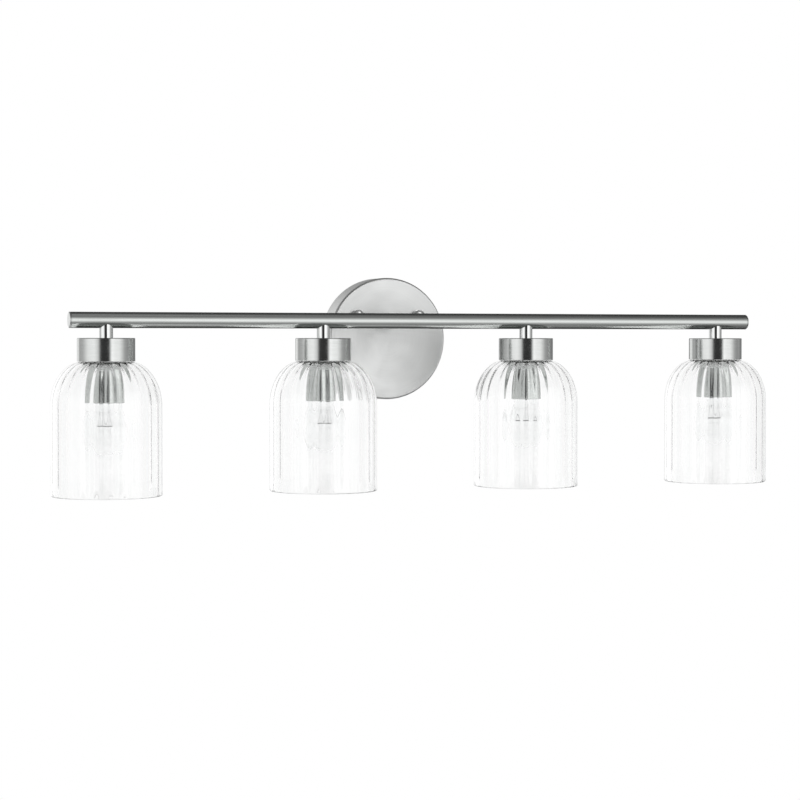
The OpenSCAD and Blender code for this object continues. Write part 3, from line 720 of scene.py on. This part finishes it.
def makeCoilTree():
    tree, given, out = geometryTree("wound filament", [
        ("Start", "NodeSocketVector", (0, 0, 0)), ("Half Length", "NodeSocketFloat", 0.008),
        ("Sag", "NodeSocketFloat", 0.002), ("Coil Radius", "NodeSocketFloat", 0.0006),
        ("Turns", "NodeSocketFloat", 30.0), ("Wire Radius", "NodeSocketFloat", 0.00015),
        ("Material", "NodeSocketMaterial", None)])
    spiral = tree.nodes.new("GeometryNodeCurveSpiral")
    spiral.inputs["Resolution"].default_value = 12
    tree.links.new(given.outputs["Turns"], spiral.inputs["Rotations"])
    tree.links.new(given.outputs["Coil Radius"], spiral.inputs["Start Radius"])
    tree.links.new(given.outputs["Coil Radius"], spiral.inputs["End Radius"])
    tree.links.new(mathNode(tree, "MULTIPLY", given.outputs["Half Length"], 2.0), spiral.inputs["Height"])
    place = tree.nodes.new("GeometryNodeInputPosition")
    parts = tree.nodes.new("ShaderNodeSeparateXYZ")
    tree.links.new(place.outputs[0], parts.inputs[0])
    along = mathNode(tree, "SUBTRACT", parts.outputs[2], given.outputs["Half Length"])
    share = mathNode(tree, "DIVIDE", along, given.outputs["Half Length"])
    bow = mathNode(tree, "MULTIPLY", mathNode(tree, "SUBTRACT", 1.0, mathNode(tree, "ABSOLUTE", share)),
                  given.outputs["Sag"])
    laid = combined(tree, along, mathNode(tree, "ADD", parts.outputs[0], bow), parts.outputs[1])
    shifted = tree.nodes.new("ShaderNodeVectorMath")
    shifted.operation = "ADD"
    tree.links.new(laid, shifted.inputs[0])
    tree.links.new(given.outputs["Start"], shifted.inputs[1])
    moved = tree.nodes.new("GeometryNodeSetPosition")
    tree.links.new(spiral.outputs[0], moved.inputs["Geometry"])
    tree.links.new(shifted.outputs[0], moved.inputs["Position"])
    section = tree.nodes.new("GeometryNodeCurvePrimitiveCircle")
    section.inputs["Resolution"].default_value = 6
    tree.links.new(given.outputs["Wire Radius"], section.inputs["Radius"])
    swept = tree.nodes.new("GeometryNodeCurveToMesh")
    swept.inputs["Fill Caps"].default_value = True
    tree.links.new(moved.outputs[0], swept.inputs["Curve"])
    tree.links.new(section.outputs[0], swept.inputs["Profile Curve"])
    realized = tree.nodes.new("GeometryNodeRealizeInstances")
    tree.links.new(swept.outputs[0], realized.inputs[0])
    coloured = tree.nodes.new("GeometryNodeSetMaterial")
    tree.links.new(realized.outputs[0], coloured.inputs["Geometry"])
    tree.links.new(given.outputs["Material"], coloured.inputs["Material"])
    tree.links.new(coloured.outputs[0], out.inputs["Geometry"])
    return tree


coilTree = makeCoilTree()


def makeBulb(number):
    body = f"bulb_{number}"
    low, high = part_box(f"bulb_glass_{number}")
    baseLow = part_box(f"bulb_base_{number}")[0].z
    axis = lampAxis(number)
    r, wall = (high.y - low.y) / 2, bulbLook["wall"]
    r = math.floor(r * 10000) / 10000
    neck = (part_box(f"bulb_base_{number}")[1].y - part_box(f"bulb_base_{number}")[0].y) / 2 - 0.0009
    centreZ = low.z + r
    lean = math.radians(50)
    bend = centreZ + r * math.sin(lean) + (r * math.cos(lean) - neck) / math.tan(lean)

    def shell(radius, neckR):
        globe = [(radius * math.cos(a), centreZ + radius * math.sin(a)) for a in
                 [math.radians(-90 + 140 * i / 40) for i in range(41)]]
        start, pull, end = Vector(globe[-1]), Vector((neckR, bend)), Vector((neckR, bend + 0.0045))
        blend = [tuple((1 - t) ** 2 * start + 2 * t * (1 - t) * pull + t * t * end) for t in
                 [i / 12 for i in range(1, 13)]]
        return globe, blend

    globe, blend = shell(r, neck)
    innerGlobe, innerBlend = shell(r - wall, neck - wall)
    globe[0], innerGlobe[0] = (0, low.z), (0, low.z + wall)
    outline = globe + blend + [(neck, high.z), (neck - wall, high.z)] + innerBlend[::-1] + innerGlobe[::-1]
    mesh = turned(f"bulbEnvelope_{number}", outline, axis, "z", 72, 60)
    showPiece(mesh, f"bulbEnvelope_{number}", bulbGlass, body, [f"bulb_glass_{number}"])

    mountLow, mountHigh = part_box(f"bulb_mount_{number}")
    filamentZ = mountLow.z + 0.0005
    pressZ = filamentZ + 0.013
    stem, foot = bulbLook["stemR"], mountHigh.z - 0.003
    flare = neck - wall - 0.0001
    post = [(0, pressZ), (stem * 0.7, pressZ + 0.0002), (stem, pressZ + 0.001), (stem * 0.8, pressZ + 0.004),
            (stem * 0.62, pressZ + 0.008), (stem * 0.8, pressZ + 0.0115), (stem, foot - 0.002), (stem * 1.3, foot),
            (flare * 0.7, foot + 0.0016), (flare, foot + 0.0025), (flare, mountHigh.z), (0, mountHigh.z)]
    stemMesh = turned(f"bulbStem_{number}", rounded(post, 0.001, 4), axis, "z", 40, 40)
    showPiece(stemMesh, f"bulbStem_{number}", bulbGlass, body, [f"bulb_mount_{number}"])

    bm = bmesh.new()
    half, sag = bulbLook["filamentHalf"] - 0.0006, bulbLook["sag"]
    for side in (-1, 1):
        down = curved((side * 0.0016, 0, pressZ + 0.0015), (side * 0.0022, 0, pressZ - 0.006),
                      (side * half, 0, filamentZ), 10)
        roundWire(bm, [p + axis for p in down], bulbLook["leadR"])
    prop = curved((0, 0.0008, pressZ + 0.001), (0, sag, pressZ - 0.004), (0, sag, filamentZ + 0.0007), 6)
    roundWire(bm, [p + axis for p in prop], bulbLook["leadR"] * 0.6, 8)
    bmesh.ops.recalc_face_normals(bm, faces=bm.faces)
    leads = bpy.data.meshes.new(f"bulbLeads_{number}")
    bm.to_mesh(leads)
    bm.free()
    showPiece(leads, f"bulbLeads_{number}", tungsten, body, [])
    seed = bpy.data.meshes.new(f"filamentSeed_{number}")
    coil = grownMesh(f"bulbFilament_{number}", seed, coilTree, {
        "Start": (axis.x, axis.y, filamentZ), "Half Length": half, "Sag": sag, "Coil Radius": bulbLook["coilR"] * 0.7,
        "Turns": float(bulbLook["coilTurns"]), "Wire Radius": bulbLook["coilWire"], "Material": tungsten})
    showPiece(coil, f"bulbFilament_{number}", None, body, [])


for number in lampNumbers:
    makeBulb(number)
print("bulbs made")


# finishes for the parts that stay as imported

keptFinishes = {"stem": nickelPolished, "arm_tube": nickelArm, "arm_nipple": brass, "arm_nut": zincPlate,
                "wall_plate": zincPlate, "mounting_studs": zincPlate, "ground_screw": greenPlate, "lamp_nipples": brass,
                "shade_gaskets": fibreWasher, "contact_tongues": brass, "live_wires": blackPvc,
                "neutral_wires": whitePvc, "ground_wire": bareCopper, "wire_connectors": orangePlastic,
                "shade_ring": ringAluminium, "lampholder": porcelain, "screw_shell": brass, "bulb_base": bulbBaseMetal}


def finishKept():
    for name, part in cadNodes.items():
        kind = name if name in keptFinishes else name.rsplit("_", 1)[0]
        if kind in keptFinishes:
            part.data.materials.clear()
            part.data.materials.append(keptFinishes[kind])


finishKept()
print("kept parts finished")


# room, light and camera

roomLook = {"floorZ": -1.0, "floorSize": 30.0, "nutLight": 3.0, "glassLight": 80.0, "canopyFill": 19.5,
            "rimLight": 12.0, "glassBounces": 24}
# what metal mirrors at eye level: degrees from straight out of the wall, brightness
horizonLook = [(-180, 0.60), (-160, 1.0), (-142, 0.40), (-115, 0.50), (-88, 0.94), (-60, 1.04), (-44, 0.75),
               (-34, 0.03), (0, 0.03), (10, 1.25), (22, 1.05), (42, 1.0), (66, 0.42), (84, 0.30), (95, 0.38),
               (115, 0.21), (160, 0.21)]
# how that fades towards the floor and the ceiling: height from -1 to 1, share
fadeLook = [(-1.0, 0.95), (-0.92, 0.75), (-0.845, 0.30), (-0.66, 0.28), (-0.46, 0.47), (-0.24, 0.95), (0.0, 1.17),
            (0.20, 0.97), (0.46, 0.46), (0.69, 0.22), (0.86, 0.17), (0.94, 0.34), (1.0, 0.45)]
# the same for what is mirrored or bent inside glass, which stays paler
glassHorizon = [(-180, 1.0), (-115, 0.95), (-80, 0.70), (-60, 0.80), (-44, 0.80), (-34, 0.02), (0, 0.02), (10, 1.25),
                (30, 1.05), (62, 0.55), (84, 0.50), (108, 0.85), (130, 1.0), (180, 1.0)]


def makeFloor():
    size, z = roomLook["floorSize"] / 2, roomLook["floorZ"]
    mesh = bpy.data.meshes.new("floor")
    mesh.from_pydata([(-size, -size, z), (size, -size, z), (size, size, z), (-size, size, z)], [], [(0, 1, 2, 3)])
    floor = bpy.data.objects.new("floor", mesh)
    bpy.context.scene.collection.objects.link(floor)
    material = bpy.data.materials.new("pale floor")
    material.use_nodes = True
    tree = material.node_tree
    tree.nodes.remove(tree.nodes["Principled BSDF"])
    glow = tree.nodes.new("ShaderNodeEmission")
    glow.inputs["Color"].default_value = grey(1.0)
    tree.links.new(glow.outputs[0], tree.nodes["Material Output"].inputs["Surface"])
    mesh.materials.append(material)
    floor.visible_glossy = False


def filledRamp(tree, factor, stops):
    ramp = tree.nodes.new("ShaderNodeValToRGB")
    points = ramp.color_ramp.elements
    while len(points) < len(stops):
        points.new(0.5)
    for point, (where, level) in zip(points, stops):
        point.position, point.color = where, grey(level)
    tree.links.new(factor, ramp.inputs[0])
    return ramp.outputs[0]


def makeWorld():
    world = bpy.data.worlds.new("studio")
    bpy.context.scene.world = world
    world.use_nodes = True
    tree = world.node_tree
    background = tree.nodes["Background"]
    direction = tree.nodes.new("ShaderNodeTexCoord").outputs["Generated"]
    parts = tree.nodes.new("ShaderNodeSeparateXYZ")
    tree.links.new(direction, parts.inputs[0])
    turn = mathNode(tree, "ARCTAN2", parts.outputs[0], mathNode(tree, "MULTIPLY", parts.outputs[1], -1.0))
    share = mathNode(tree, "MULTIPLY_ADD", turn, 1 / fullTurn, 0.5)
    around = filledRamp(tree, share, [(deg / 360 + 0.5, level) for deg, level in horizonLook])
    height = mathNode(tree, "MULTIPLY_ADD", parts.outputs[2], 0.5, 0.5)
    fade = filledRamp(tree, height, [(z / 2 + 0.5, level) for z, level in fadeLook])
    aroundGlass = filledRamp(tree, share, [(deg / 360 + 0.5, level) for deg, level in glassHorizon])
    path = tree.nodes.new("ShaderNodeLightPath")
    through = mathNode(tree, "MINIMUM", path.outputs["Transmission Depth"], 1.0)
    mirrored = tree.nodes.new("ShaderNodeVectorMath")
    mirrored.operation = "MULTIPLY"
    tree.links.new(blendColour(tree, through, around, aroundGlass), mirrored.inputs[0])
    tree.links.new(fade, mirrored.inputs[1])
    beyond = mathNode(tree, "MULTIPLY_ADD", parts.outputs[1], 3.0, 1.8, clamp=True)
    # light that went through glass and on behind the wall is white: it keeps the shades clear
    behind = mathNode(tree, "MULTIPLY", beyond, through)
    clear = blendColour(tree, behind, mirrored.outputs[0], grey(1.0))
    bounced = mathNode(tree, "MINIMUM", path.outputs["Glossy Depth"], 1.0)
    tree.links.new(blendColour(tree, bounced, grey(1.0), clear), background.inputs["Color"])


def softPanel(name, where, aim, width, height, power, onlyOn=None, mirroredOnly=False):
    light = bpy.data.lights.new(name, "AREA")
    light.shape, light.size, light.size_y, light.energy = "RECTANGLE", width, height, power
    lamp = bpy.data.objects.new(name, light)
    bpy.context.scene.collection.objects.link(lamp)
    lamp.location = where
    lamp.rotation_euler = (Vector(aim) - Vector(where)).to_track_quat("-Z", "Y").to_euler()
    lamp.visible_camera = False
    lamp.visible_transmission = not mirroredOnly
    if onlyOn:
        group = bpy.data.collections.new(name + " receivers")
        for piece in onlyOn:
            group.objects.link(piece)
        lamp.light_linking.receiver_collection = group
    return lamp


def makeCamera():
    camera = bpy.data.cameras.new("camera")
    camera.lens, camera.sensor_width = 96.3, 36
    camera.clip_end = 100
    holder = bpy.data.objects.new("camera", camera)
    bpy.context.scene.collection.objects.link(holder)
    holder.location = (-0.778, -2.227, -0.003)
    holder.rotation_euler = (math.radians(88.43), 0, math.radians(-19.83))
    bpy.context.scene.camera = holder


makeFloor()
makeWorld()
capNuts = [bpy.data.objects["capNut_left"], bpy.data.objects["capNut_right"]]
softPanel("cap nut light", (0.2, -0.6, 1.2), (0, -0.03, 0.02), 0.8, 0.8, roomLook["nutLight"], capNuts)
canopyFace = [bpy.data.objects["canopyShell"]]
glassPieces = [bpy.data.objects[f"ribbedShade_{n}"] for n in lampNumbers]
bulbPieces = [bpy.data.objects[f"{kind}_{n}"] for kind in ("bulbEnvelope", "bulbStem") for n in lampNumbers]
softPanel("canopy fill", (1.02, -2.95, 0.0), (0, -0.03, 0), 5, 3, roomLook["canopyFill"],
          canopyFace + glassPieces + bulbPieces)
softPanel("rim light", (-0.5, 2.5, 0.4), (0, 0, 0), 4, 3, roomLook["rimLight"], canopyFace, True)
softPanel("light behind the glass", (0, 2.5, 0.1), (0, -0.15, -0.07), 8, 5, roomLook["glassLight"], glassPieces, True)
makeCamera()
bpy.context.scene.view_settings.view_transform = "Standard"
# light is followed further inside the glass than usual, or its thin edges go black
cycles = bpy.context.scene.cycles
cycles.max_bounces = cycles.glossy_bounces = cycles.transmission_bounces = roomLook["glassBounces"]
print("room, light and camera ready")
